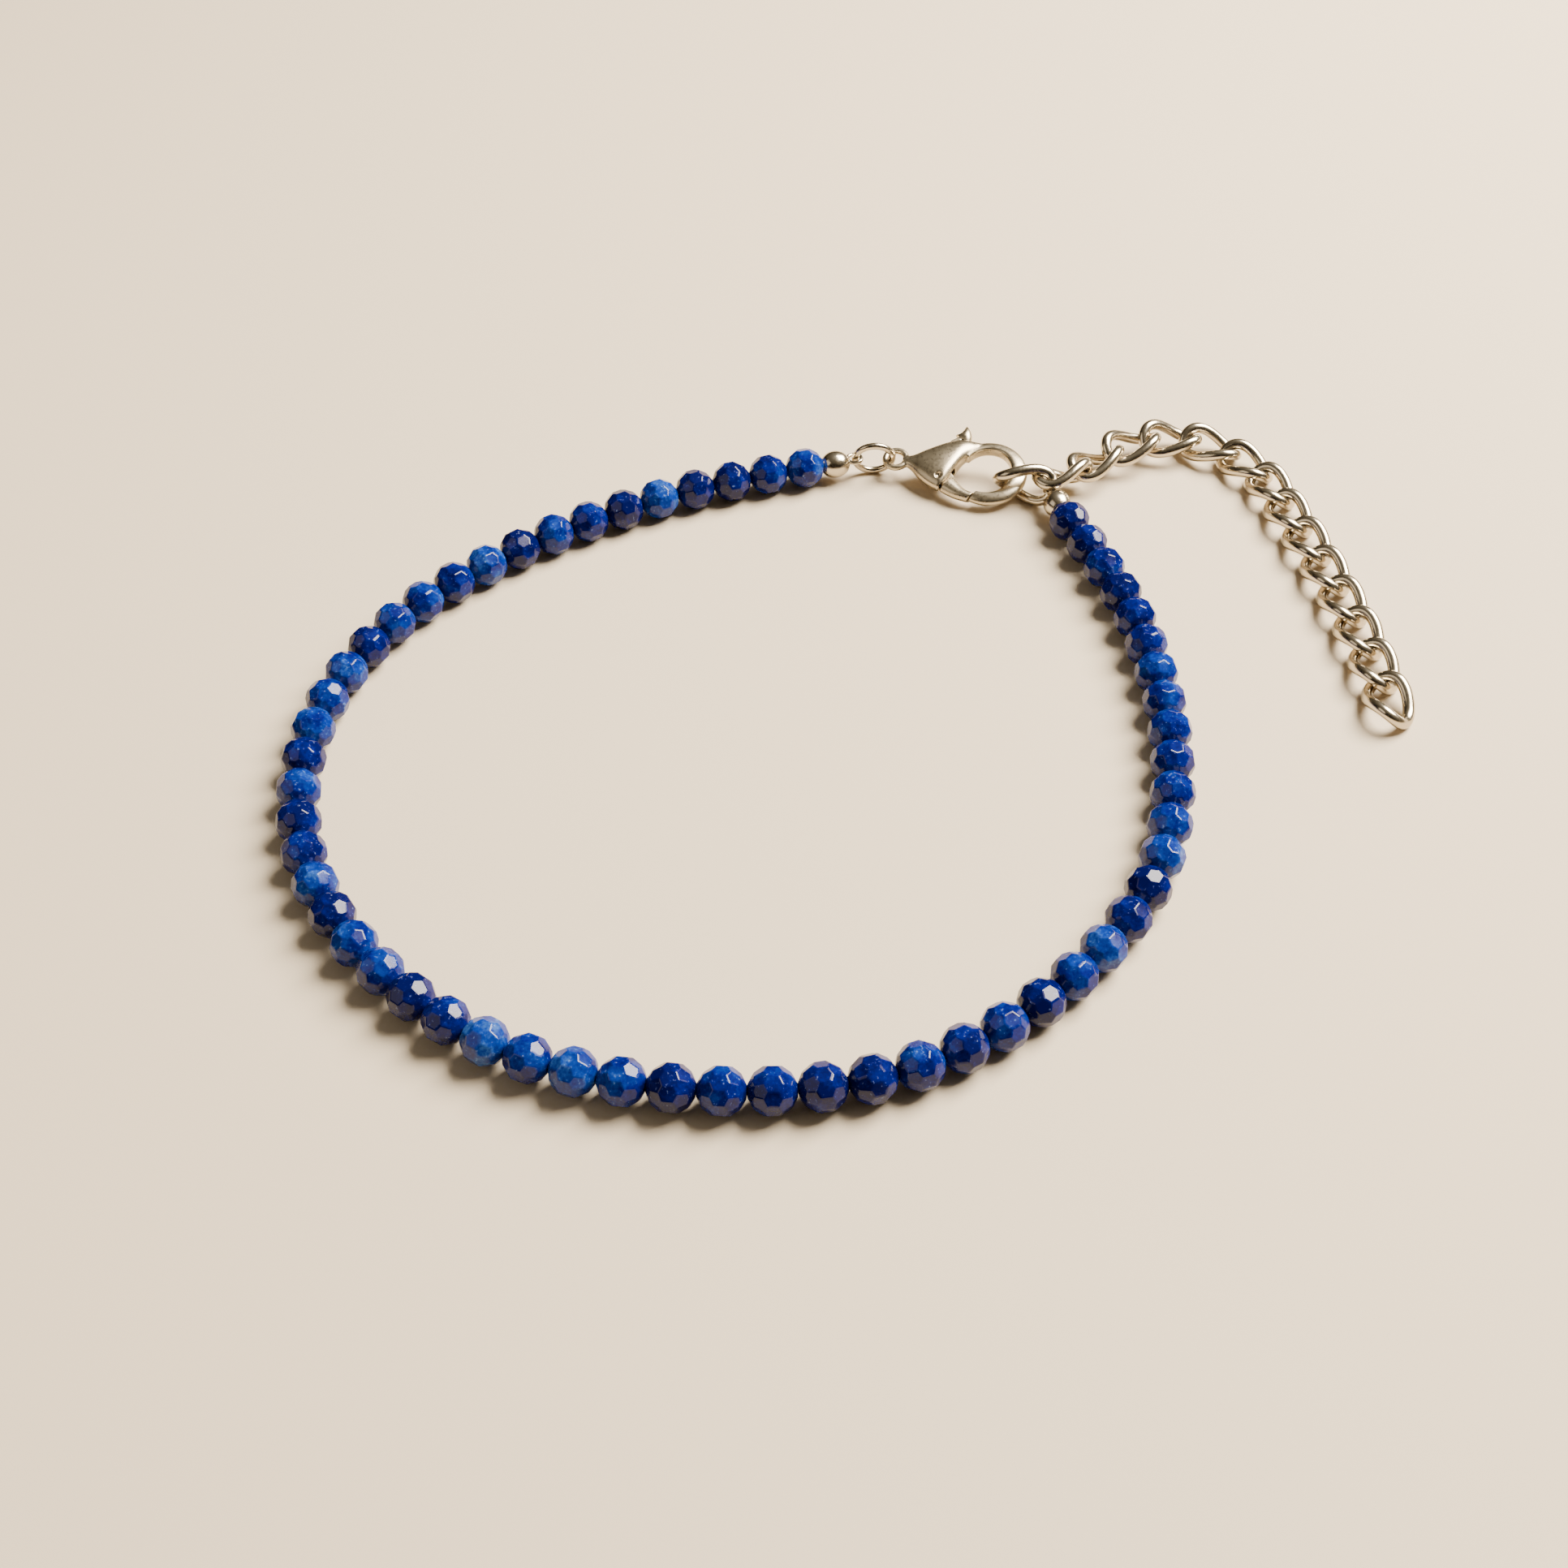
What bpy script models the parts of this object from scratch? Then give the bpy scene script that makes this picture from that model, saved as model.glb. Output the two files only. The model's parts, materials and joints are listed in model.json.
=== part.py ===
"""Beaded anklet, lying closed: faceted round stone beads on a thread, a bead tip at each end,
a jump ring, a lobster clasp hooked into the first link of a curb extender chain, and the
chain's free tail. Metres, +Z up, +X to the right and +Y away from the viewer. The pieces are
laid out from the clasp's base ring, and the whole is then centred on its own box.
"""

import math
from collections import namedtuple

import bmesh
import bpy
from mathutils import Matrix, Vector

MM = 0.001

# Bead string
BEAD_COUNT = 57
BEAD_DIAMETER = 4.15 * MM
BEAD_SIDES = 10
BEAD_RIM_DIAMETER = 1.2 * MM
BEAD_SECOND_ROW = 37.5
BEAD_SPACING = 0.06 * MM

# Bead tips: a ball that hides the thread's knot, with a small loop
TIP_DIAMETER = 2.6 * MM
TIP_LOOP_WIRE = 0.44 * MM
TIP_GAP = 0.3 * MM
RING_CLEARANCE = 0.18 * MM
LEFT_TIP_HEADING = 192.0
RIGHT_TIP_HEADING = -80.0

# Jump ring
JUMP_RING_DIAMETER = 4.8 * MM
JUMP_RING_WIRE = 0.65 * MM
JUMP_RING_HEADING = 1.0
JUMP_RING_LEAN = -75.0

# Clasp, from the centre of its base ring to the far end of its hook
CLASP_LENGTH = 14.1 * MM
CLASP_THICKNESS = 2.4 * MM
HOOK_DIAMETER = 8.0 * MM
HOOK_BAND = 1.25 * MM
BASE_RING_DIAMETER = 2.9 * MM
BASE_RING_WIRE = 0.65 * MM
SLOT_HEIGHT = 1.1 * MM
LEVER_CLEARANCE = 0.15 * MM
RIVET_DIAMETER = 0.7 * MM
RIVET_CLEARANCE = 0.1 * MM
GATE_SEAM_ANGLE = -108.0
GATE_SEAM_GAP = 0.25 * MM
GATE_ROOT_ANGLE = -150.0
GATE_PLATE_SHARE = 0.7
GATE_PLATE_INSET = 0.14
PLATE_ROOT_ANGLE = -168.0
HOOK_ROOT_ANGLE = 130.0
CLASP_HEADING = -17.0
CLASP_LEAN = 15.0
CLASP_HEIGHT = 2.1 * MM

# Curb chain
LINK_COUNT = 15
LINK_LENGTH = 6.5 * MM
LINK_WIDTH = 4.3 * MM
LINK_WIRE = 0.7 * MM
LINK_TWIST = 0.75 * MM
LINK_SLACK = 0.3 * MM
LINK_POINTS = 14
HOOKED_LINK_ANGLE = -20.0
HOOKED_LINK_REACH = 0.9 * MM
HOOKED_LINK_HEADING = -16.0
HOOKED_LINK_LEAN = -65.0
TAIL_EXIT_ANGLE = -30.0
TAIL_EXIT_INSET = 0.85 * MM
LEANING_LINKS = 4

# Routes as points chosen by hand, in millimetres to the right of and beyond the clasp's base ring:
# the thread's, from the left bead tip round the front to the right one, and the free tail's, whose
# third number is the rise above a link that lies flat.
STRING_ROUTE = [
    (-14.0, -2.3), (-25.5, -6.2), (-39.0, -13.9), (-50.2, -24.7), (-56.1, -38.8), (-55.1, -54.6),
    (-47.3, -68.1), (-34.9, -77.8), (-19.3, -81.9), (-3.4, -80.4), (9.9, -72.1), (19.5, -59.4),
    (22.9, -43.3), (22.0, -27.3), (19.2, -16.9),
]
TAIL_ROUTE = [
    (19.3, -2.8, 1.5), (24.0, 0.7, 1.0), (28.7, 3.3, 0.5), (33.3, 3.0, 0.1), (36.9, 0.2, 0.0),
    (39.3, -4.3, 0.0), (41.6, -13.4, 0.0), (43.3, -22.4, 0.0), (44.4, -31.2, 0.0), (45.0, -40.0, 0.0),
]

# The clasp's body as cross-sections: how far along the clasp (share of its length), how far to its
# far side (share of the hook's diameter), half width (share of the hook's radius), and thickness
# (share of the clasp's).
ClaspSection = namedtuple("ClaspSection", "along side width thickness")
CLASP_SECTIONS = [
    ClaspSection(0.065, 0.00, 0.12, 0.36),
    ClaspSection(0.130, 0.00, 0.20, 0.55),
    ClaspSection(0.210, 0.02, 0.40, 0.85),
    ClaspSection(0.300, 0.03, 0.60, 1.00),
    ClaspSection(0.390, 0.06, 0.74, 1.00),
    ClaspSection(0.455, 0.19, 0.59, 0.95),
    ClaspSection(0.530, 0.35, 0.26, 0.70),
    ClaspSection(0.600, 0.41, 0.15, 0.52),
]
SECTION_SIDES = 16
SECTION_ROUNDING = 0.75

# The lever's slot, its rivet and the lever's arm and thumb tab, as shares of the clasp's length and
# of the hook's diameter
SLOT_OUTLINE = [(0.20, -0.60), (0.58, -0.60), (0.58, 0.12), (0.465, 0.12), (0.465, 0.70), (0.20, 0.70)]
RIVET_SHARE = (0.375, -0.15)
TAB_OUTLINE = [
    (0.347, -0.231), (0.329, -0.150), (0.324, 0.349), (0.345, 0.511), (0.455, 0.660), (0.445, 0.430),
    (0.430, 0.0),
]

# Derived sizes
LINK_PITCH = LINK_LENGTH - 2 * LINK_WIRE - LINK_SLACK
LINK_REST_HEIGHT = LINK_TWIST + LINK_WIRE / 2
BEAD_RADIUS = BEAD_DIAMETER / 2
BEAD_STEP = 2 * math.pi / BEAD_SIDES
BEAD_HEIGHT = BEAD_RADIUS * math.cos(BEAD_STEP / 2)
BEAD_RIM_ANGLE = math.acos(BEAD_RIM_DIAMETER / BEAD_DIAMETER)
BEAD_LENGTH = BEAD_DIAMETER * math.sin(BEAD_RIM_ANGLE)
BEAD_PITCH = BEAD_LENGTH + BEAD_SPACING
HOOK_RADIUS = (HOOK_DIAMETER - HOOK_BAND) / 2
HOOK_CENTRE = CLASP_LENGTH - HOOK_DIAMETER / 2
BASE_RING_RADIUS = (BASE_RING_DIAMETER - BASE_RING_WIRE) / 2
JUMP_RING_RADIUS = (JUMP_RING_DIAMETER - JUMP_RING_WIRE) / 2
JUMP_RING_OFFSET = BASE_RING_RADIUS - (BASE_RING_WIRE + JUMP_RING_WIRE) / 2 - RING_CLEARANCE
HELD_WIRE = max(JUMP_RING_WIRE, LINK_WIRE)
TIP_LOOP_RADIUS = (HELD_WIRE + TIP_LOOP_WIRE) / 2 + RING_CLEARANCE
TIP_REACH = (TIP_DIAMETER + HELD_WIRE) / 2 + RING_CLEARANCE
LEVER_THICKNESS = SLOT_HEIGHT - 2 * LEVER_CLEARANCE
RIVET_HOLE_RADIUS = RIVET_DIAMETER / 2 + RIVET_CLEARANCE


def turn(heading=0.0, pitch=0.0, lean=0.0):
    """Rotation that leans about X, then pitches its nose up, then heads about Z, in degrees."""
    return (Matrix.Rotation(math.radians(heading), 4, "Z")
            @ Matrix.Rotation(-math.radians(pitch), 4, "Y")
            @ Matrix.Rotation(math.radians(lean), 4, "X"))


def along(heading, distance):
    """Level step of a distance at a heading in degrees."""
    angle = math.radians(heading)
    return Vector((math.cos(angle), math.sin(angle), 0)) * distance


# Objects, collections and materials

def clear_scene():
    for item in list(bpy.data.objects):
        bpy.data.objects.remove(item)


def make_collection(name):
    collection = bpy.data.collections.new(name)
    bpy.context.scene.collection.children.link(collection)
    return collection


def make_material(name, colour, metallic, roughness):
    material = bpy.data.materials.new(name)
    material.use_nodes = True
    shader = material.node_tree.nodes["Principled BSDF"]
    shader.inputs["Base Color"].default_value = (*colour, 1)
    shader.inputs["Metallic"].default_value = metallic
    shader.inputs["Roughness"].default_value = roughness
    return material


def add_object(name, data, collection, material, matrix):
    item = bpy.data.objects.new(name, data)
    item.matrix_world = matrix
    collection.objects.link(item)
    if material:
        data.materials.append(material)
    return item


def add_cutter(name, data, matrix):
    item = add_object(name, data, cutters, None, matrix)
    item.hide_render = True
    item.display_type = "WIRE"
    return item


def combine(item, operation, other):
    """Adds an exact Boolean that joins or cuts the item with another object."""
    modifier = item.modifiers.new(other.name, "BOOLEAN")
    modifier.operation = operation
    modifier.solver = "EXACT"
    modifier.object = other


# Shapes

def wire_curve(name, points, diameter, resolution, cyclic=True):
    """A round wire along points, with 4 + 2 * resolution sides."""
    curve = bpy.data.curves.new(name, "CURVE")
    curve.dimensions = "3D"
    curve.bevel_depth = diameter / 2
    curve.bevel_resolution = resolution
    curve.use_fill_caps = not cyclic
    spline = curve.splines.new("POLY")
    spline.points.add(len(points) - 1)
    for point, place in zip(spline.points, points):
        point.co = (*place, 1)
    spline.use_cyclic_u = cyclic
    return curve


def plate_curve(name, outlines, thickness):
    """A flat plate whose first outline is its edge and whose others are holes."""
    curve = bpy.data.curves.new(name, "CURVE")
    curve.dimensions = "2D"
    curve.fill_mode = "BOTH"
    curve.extrude = thickness / 2
    for outline in outlines:
        spline = curve.splines.new("POLY")
        spline.points.add(len(outline) - 1)
        for point, place in zip(spline.points, outline):
            point.co = (place[0], place[1], 0, 1)
        spline.use_cyclic_u = True
    return curve


def curve_mesh(curve):
    """The curve as one closed mesh, its caps welded, and the curve removed."""
    source = bpy.data.objects.new(curve.name, curve)
    bpy.context.scene.collection.objects.link(source)
    graph = bpy.context.evaluated_depsgraph_get()
    mesh = bpy.data.meshes.new_from_object(source.evaluated_get(graph))
    bpy.data.objects.remove(source)
    shape = bmesh.new()
    shape.from_mesh(mesh)
    bmesh.ops.remove_doubles(shape, verts=shape.verts, dist=0.001 * MM)
    shape.to_mesh(mesh)
    shape.free()
    return mesh


def arc(centre, radius, start, end, count):
    """Points on a level arc from one angle to another, in degrees."""
    points = []
    for i in range(count):
        angle = math.radians(start + (end - start) * i / (count - 1))
        points.append(Vector((centre + radius * math.cos(angle), radius * math.sin(angle), 0)))
    return points


def circle(radius, count, centre=(0, 0)):
    points = []
    for i in range(count):
        angle = 2 * math.pi * i / count
        points.append((centre[0] + radius * math.cos(angle), centre[1] + radius * math.sin(angle), 0))
    return points


def loft(name, rings, staggers):
    """A closed mesh through rings of equal count, capped at both ends. A stagger is how far each
    ring is turned against the one before: 0, or half a step forward (1) or back (-1)."""
    shape = bmesh.new()
    loops = [[shape.verts.new(point) for point in ring] for ring in rings]
    sides = len(rings[0])
    for lower, upper, stagger in zip(loops, loops[1:], staggers):
        for i in range(sides):
            j = (i + 1) % sides
            if stagger == 0:
                shape.faces.new((lower[i], lower[j], upper[j], upper[i]))
            elif stagger == 1:
                shape.faces.new((lower[i], lower[j], upper[i]))
                shape.faces.new((lower[j], upper[j], upper[i]))
            else:
                shape.faces.new((lower[i], lower[j], upper[j]))
                shape.faces.new((lower[i], upper[j], upper[i]))
    shape.faces.new(reversed(loops[0]))
    shape.faces.new(loops[-1])
    bmesh.ops.recalc_face_normals(shape, faces=shape.faces)
    mesh = bpy.data.meshes.new(name)
    shape.to_mesh(mesh)
    shape.free()
    return mesh


# Routes

def smooth_route(points, steps=12):
    """Points along a Catmull-Rom curve through the given ones."""
    padded = [2 * points[0] - points[1]] + points + [2 * points[-1] - points[-2]]
    route = []
    for a, b, c, d in zip(padded, padded[1:], padded[2:], padded[3:]):
        for i in range(steps):
            t = i / steps
            route.append(0.5 * (2 * b + (c - a) * t + (2 * a - 5 * b + 4 * c - d) * t ** 2
                                + (3 * b - a - 3 * c + d) * t ** 3))
    return route + [points[-1]]


def walk(route, pitch, count):
    """Points on a route, each a straight pitch from the last. They go on past its end if need be."""
    places = [route[0]]
    route = route + [route[-1] + (route[-1] - route[-2]).normalized() * pitch * count]
    segment = 1
    while len(places) <= count:
        start, end, last = route[segment - 1], route[segment], places[-1]
        if (end - last).length < pitch:
            segment += 1
            continue
        low, high = 0.0, 1.0
        for _ in range(40):
            middle = (low + high) / 2
            if (start.lerp(end, middle) - last).length < pitch:
                low = middle
            else:
                high = middle
        places.append(start.lerp(end, high))
    return places


def fitted_route(first, middle, last, length):
    """The smooth route through middle points, spread level from its first point until it is as
    long as it has to be."""
    low, high = 0.2, 5.0
    for _ in range(60):
        factor = (low + high) / 2
        spread = Vector((factor, factor, 1))
        points = [first] + [first + (point - first) * spread for point in middle]
        if last:
            points.append(last)
        route = smooth_route(points)
        size = sum((b - a).length for a, b in zip(route, route[1:]))
        if size < length:
            low = factor
        else:
            high = factor
    return route


# Pieces

def bead_rings(centre, heading):
    """Rings of one faceted bead: the equator, two rows of facets each way and the drill's rim. The
    equator's facets are flat because their rows are as far apart as they are wide, and one of
    them faces straight down."""
    rows = [BEAD_STEP / 2, math.radians(BEAD_SECOND_ROW), BEAD_RIM_ANGLE]
    latitudes = [-row for row in rows[::-1]] + [0.0] + rows
    place = Matrix.Translation(centre) @ turn(heading)
    rings = []
    for row, latitude in enumerate(latitudes):
        first = -math.pi / 2 + BEAD_STEP / 2 * (row % 2)
        radius = BEAD_RADIUS * math.cos(latitude)
        ring = []
        for i in range(BEAD_SIDES):
            angle = first + BEAD_STEP * i
            across = Vector((0, math.cos(angle), math.sin(angle))) * radius
            ring.append(place @ (across + Vector((BEAD_RADIUS * math.sin(latitude), 0, 0))))
        rings.append(ring)
    return rings


def make_string(places):
    """All beads and the thread's short necks between them, as one body."""
    rings = []
    staggers = []
    for start, end in zip(places, places[1:]):
        step = end - start
        if rings:
            staggers.append(0)
        rings += bead_rings((start + end) / 2, math.degrees(math.atan2(step.y, step.x)))
        staggers += [1, -1, 1, -1, 1, -1]
    mesh = loft("bead_string", rings, staggers)
    return add_object("bead_string", mesh, anklet, stone, Matrix())


def make_tip(name, loop_centre, heading):
    """A bead tip: a ball towards the beads, with a level loop round the ring or link."""
    bpy.ops.mesh.primitive_uv_sphere_add(segments=14, ring_count=9, radius=TIP_DIAMETER / 2)
    tip = bpy.context.object
    tip.name = name
    for collection in tip.users_collection:
        collection.objects.unlink(tip)
    anklet.objects.link(tip)
    tip.data.materials.append(silver)
    tip.matrix_world = Matrix.Translation(loop_centre + along(heading, TIP_REACH)) @ turn(heading)
    tip.location.z = BEAD_HEIGHT
    wire = wire_curve(name + "_loop", circle(TIP_LOOP_RADIUS, 12), TIP_LOOP_WIRE, 1)
    loop = add_cutter(name + "_loop", curve_mesh(wire), Matrix.Translation(loop_centre))
    combine(tip, "UNION", loop)
    tip.data.shade_smooth()
    return tip


def link_point(angle):
    """A point on the centre line of a curb link's wire, an oval twisted out of its plane."""
    return Vector(((LINK_LENGTH - LINK_WIRE) / 2 * math.cos(angle),
                   (LINK_WIDTH - LINK_WIRE) / 2 * math.sin(angle),
                   -LINK_TWIST * math.sin(2 * angle)))


def make_link(number, place):
    name = f"chain_link_{number:02d}"
    points = [link_point(2 * math.pi * (i + 0.5) / LINK_POINTS) for i in range(LINK_POINTS)]
    return add_object(name, wire_curve(name, points, LINK_WIRE, 1), anklet, silver, place)


def make_tail(places):
    """The free links, each between two crossings, the first few still leaning."""
    for number, (start, end) in enumerate(zip(places, places[1:]), 2):
        step = end - start
        heading = math.degrees(math.atan2(step.y, step.x))
        pitch = math.degrees(math.asin(step.z / step.length))
        lean = HOOKED_LINK_LEAN * max(0.0, 1 - (number - 1) / LEANING_LINKS)
        make_link(number, Matrix.Translation((start + end) / 2) @ turn(heading, pitch, lean))


def squarer(value):
    """Pushes a sine or cosine outwards, which turns an ellipse into a rounded oblong."""
    return math.copysign(abs(value) ** SECTION_ROUNDING, value)


def section(row):
    """One rounded cross-section of the clasp's body."""
    points = []
    for i in range(SECTION_SIDES):
        angle = 2 * math.pi * (i + 0.5) / SECTION_SIDES
        side = row.side * HOOK_DIAMETER + row.width * HOOK_DIAMETER / 2 * squarer(math.cos(angle))
        rise = row.thickness * CLASP_THICKNESS / 2 * squarer(math.sin(angle))
        points.append(Vector((row.along * CLASP_LENGTH, side, rise)))
    return points


def on_clasp(shares):
    """Points in the clasp's plane from shares of its length and of the hook's diameter."""
    return [Vector((forward * CLASP_LENGTH, side * HOOK_DIAMETER, 0)) for forward, side in shares]


def make_clasp_body(place, rivet_place):
    """Body, hook and base ring as one casting, slotted for the lever and drilled for its rivet."""
    mesh = loft("clasp_body", [section(row) for row in CLASP_SECTIONS], [0] * (len(CLASP_SECTIONS) - 1))
    body = add_object("clasp_body", mesh, anklet, silver, place)
    hook_line = arc(HOOK_CENTRE, HOOK_RADIUS, HOOK_ROOT_ANGLE, GATE_SEAM_ANGLE, 20)
    hook = wire_curve("clasp_hook", hook_line, HOOK_BAND, 2, cyclic=False)
    combine(body, "UNION", add_cutter("clasp_hook", curve_mesh(hook), place))
    ring = wire_curve("clasp_base_ring", circle(BASE_RING_RADIUS, 14), BASE_RING_WIRE, 1)
    combine(body, "UNION", add_cutter("clasp_base_ring", curve_mesh(ring), place))
    slot = plate_curve("clasp_slot", [on_clasp(SLOT_OUTLINE)], SLOT_HEIGHT)
    combine(body, "DIFFERENCE", add_cutter("clasp_slot", curve_mesh(slot), place))
    bore = plate_curve("rivet_bore", [circle(RIVET_HOLE_RADIUS, 12)], 2 * CLASP_THICKNESS)
    combine(body, "DIFFERENCE", add_cutter("rivet_bore", curve_mesh(bore), rivet_place))


def make_lever(place):
    """The lever: gate and thumb tab on one plate that turns on the rivet, its origin there."""
    gate_end = GATE_SEAM_ANGLE - math.degrees(GATE_SEAM_GAP / HOOK_RADIUS)
    gate_line = arc(HOOK_CENTRE, HOOK_RADIUS, gate_end, GATE_ROOT_ANGLE, 6)
    plate_half = GATE_PLATE_SHARE * HOOK_BAND / 2
    plate_end = gate_end + (GATE_ROOT_ANGLE - gate_end) * GATE_PLATE_INSET
    inner = arc(HOOK_CENTRE, HOOK_RADIUS - plate_half, PLATE_ROOT_ANGLE, plate_end, 5)
    outer = arc(HOOK_CENTRE, HOOK_RADIUS + plate_half, plate_end, GATE_ROOT_ANGLE, 5)
    rivet = on_clasp([RIVET_SHARE])[0]
    outline = [point - rivet for point in inner + outer + on_clasp(TAB_OUTLINE)]
    plate = plate_curve("clasp_lever", [outline, circle(RIVET_HOLE_RADIUS, 12)], LEVER_THICKNESS)
    lever = add_object("clasp_lever", curve_mesh(plate), anklet, silver, place)
    gate = wire_curve("lever_gate", [point - rivet for point in gate_line], HOOK_BAND, 2, cyclic=False)
    combine(lever, "UNION", add_cutter("lever_gate", curve_mesh(gate), place))


def make_rivet(place):
    pin = plate_curve("clasp_rivet", [circle(RIVET_DIAMETER / 2, 12)], CLASP_THICKNESS)
    add_object("clasp_rivet", curve_mesh(pin), anklet, silver, place)


def centre_on_box(collections):
    """Moves everything so that the anklet's box is centred on the origin and stands on z = 0."""
    bpy.context.view_layer.update()
    graph = bpy.context.evaluated_depsgraph_get()
    corners = []
    for item in anklet.objects:
        mesh = item.evaluated_get(graph).to_mesh()
        corners += [item.matrix_world @ vertex.co for vertex in mesh.vertices]
        item.evaluated_get(graph).to_mesh_clear()
    low = Vector([min(corner[axis] for corner in corners) for axis in range(3)])
    high = Vector([max(corner[axis] for corner in corners) for axis in range(3)])
    shift = Vector((-(low.x + high.x) / 2, -(low.y + high.y) / 2, -low.z))
    for collection in collections:
        for item in collection.objects:
            item.location += shift


clear_scene()
anklet = make_collection("anklet")
cutters = make_collection("cutters")
stone = make_material("blue_stone", (0.01, 0.04, 0.35), 0.0, 0.3)
silver = make_material("silver_tone", (0.72, 0.68, 0.62), 1.0, 0.25)

# Clasp
clasp_place = Matrix.Translation((0, 0, CLASP_HEIGHT)) @ turn(CLASP_HEADING, 0, CLASP_LEAN)
rivet_place = clasp_place @ Matrix.Translation(on_clasp([RIVET_SHARE])[0])
make_clasp_body(clasp_place, rivet_place)
make_lever(rivet_place)
make_rivet(rivet_place)

# Jump ring through the base ring, and the left bead tip on it
jump_rise = JUMP_RING_RADIUS * math.sin(math.radians(abs(JUMP_RING_LEAN))) + JUMP_RING_WIRE / 2
jump_centre = along(JUMP_RING_HEADING, -JUMP_RING_RADIUS - JUMP_RING_OFFSET) + Vector((0, 0, jump_rise))
jump_curve = wire_curve("jump_ring", circle(JUMP_RING_RADIUS, 16), JUMP_RING_WIRE, 1)
jump_place = Matrix.Translation(jump_centre) @ turn(JUMP_RING_HEADING, 0, JUMP_RING_LEAN)
add_object("jump_ring", jump_curve, anklet, silver, jump_place)
left_loop = jump_centre - along(JUMP_RING_HEADING, JUMP_RING_RADIUS)
make_tip("bead_tip_left", left_loop, LEFT_TIP_HEADING)

# Hooked link through the hook, and the right bead tip on it
crossing = clasp_place @ arc(HOOK_CENTRE, HOOK_RADIUS, HOOKED_LINK_ANGLE, 0, 2)[0]
hooked_centre = crossing + along(HOOKED_LINK_HEADING, HOOKED_LINK_REACH)
hooked_half_height = (LINK_WIDTH - LINK_WIRE) / 2 * abs(math.sin(math.radians(HOOKED_LINK_LEAN)))
hooked_centre.z = hooked_half_height + LINK_REST_HEIGHT / 2
hooked_place = Matrix.Translation(hooked_centre) @ turn(HOOKED_LINK_HEADING, 0, HOOKED_LINK_LEAN)
make_link(1, hooked_place)
link_end = hooked_place @ link_point(0)
make_tip("bead_tip_right", link_end, RIGHT_TIP_HEADING)

# Bead string between the tips
ball_to_bead = TIP_REACH + TIP_DIAMETER / 2 + TIP_GAP
left_end = left_loop + along(LEFT_TIP_HEADING, ball_to_bead)
right_end = link_end + along(RIGHT_TIP_HEADING, ball_to_bead)
left_end.z = right_end.z = BEAD_HEIGHT
string_points = [Vector((x * MM, y * MM, BEAD_HEIGHT)) for x, y in STRING_ROUTE]
thread = fitted_route(left_end, string_points, right_end, BEAD_COUNT * BEAD_PITCH)
make_string(walk(thread, BEAD_PITCH, BEAD_COUNT))

# Free tail
exit_point = link_point(math.radians(TAIL_EXIT_ANGLE))
tail_start = hooked_place @ (exit_point - exit_point.normalized() * TAIL_EXIT_INSET)
tail_points = [Vector((x * MM, y * MM, LINK_REST_HEIGHT + rise * MM)) for x, y, rise in TAIL_ROUTE]
tail = fitted_route(tail_start, tail_points, None, (LINK_COUNT - 1) * LINK_PITCH)
make_tail(walk(tail, LINK_PITCH, LINK_COUNT - 1))

centre_on_box([anklet, cutters])
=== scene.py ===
# %% [markdown]
# # A beaded anklet, dressed for the camera
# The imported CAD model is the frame: it says where every bead, ring and link lies and which body
# it moves with. This lesson reads those places and puts a finer piece at each, so nothing is
# measured twice. It needs Blender 4.5, and every length is in metres unless a name says mm.

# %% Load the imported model
import json
import math

import bmesh
import bpy
import numpy as np
from mathutils import Matrix, Vector


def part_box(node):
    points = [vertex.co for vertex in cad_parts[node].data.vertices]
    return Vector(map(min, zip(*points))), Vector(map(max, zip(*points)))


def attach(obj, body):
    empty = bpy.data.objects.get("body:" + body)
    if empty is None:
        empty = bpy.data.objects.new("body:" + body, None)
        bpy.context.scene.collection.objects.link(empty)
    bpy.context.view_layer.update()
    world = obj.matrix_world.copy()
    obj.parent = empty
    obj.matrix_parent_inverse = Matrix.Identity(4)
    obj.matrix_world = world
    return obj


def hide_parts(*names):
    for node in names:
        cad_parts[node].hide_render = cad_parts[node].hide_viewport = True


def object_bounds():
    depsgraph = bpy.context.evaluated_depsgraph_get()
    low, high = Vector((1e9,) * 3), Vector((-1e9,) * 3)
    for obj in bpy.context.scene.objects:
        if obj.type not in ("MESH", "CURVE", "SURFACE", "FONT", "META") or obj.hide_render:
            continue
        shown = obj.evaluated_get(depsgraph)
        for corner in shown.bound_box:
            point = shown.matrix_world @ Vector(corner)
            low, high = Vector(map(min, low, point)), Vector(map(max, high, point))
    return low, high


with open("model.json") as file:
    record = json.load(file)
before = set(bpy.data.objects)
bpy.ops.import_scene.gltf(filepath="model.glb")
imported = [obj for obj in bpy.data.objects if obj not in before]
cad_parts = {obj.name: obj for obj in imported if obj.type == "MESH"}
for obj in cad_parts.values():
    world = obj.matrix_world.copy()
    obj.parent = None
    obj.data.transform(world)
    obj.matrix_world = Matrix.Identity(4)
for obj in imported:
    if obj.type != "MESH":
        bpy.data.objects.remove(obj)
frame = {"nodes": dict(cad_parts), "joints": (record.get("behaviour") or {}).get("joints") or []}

MM = 0.001
cad_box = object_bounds()
nodes = frame["nodes"]
print("CAD box in mm:", [[round(v / MM, 2) for v in corner] for corner in cad_box])


# %% [markdown]
# ## Helpers
# A shader or a geometry tree is a set of nodes with settings and links, so one small function
# that adds a node, sets it and links it serves both. Colours are written as sRGB hex, the way a
# colour picker shows them, and one function turns them to the linear values that shaders take.

# %% Colours and nodes
def linear(code):
    """The linear colour of an sRGB hex code."""
    values = []
    for i in (0, 2, 4):
        share = int(code[i:i + 2], 16) / 255
        values.append(share / 12.92 if share <= 0.04045 else ((share + 0.055) / 1.055) ** 2.4)
    return (*values, 1.0)


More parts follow.
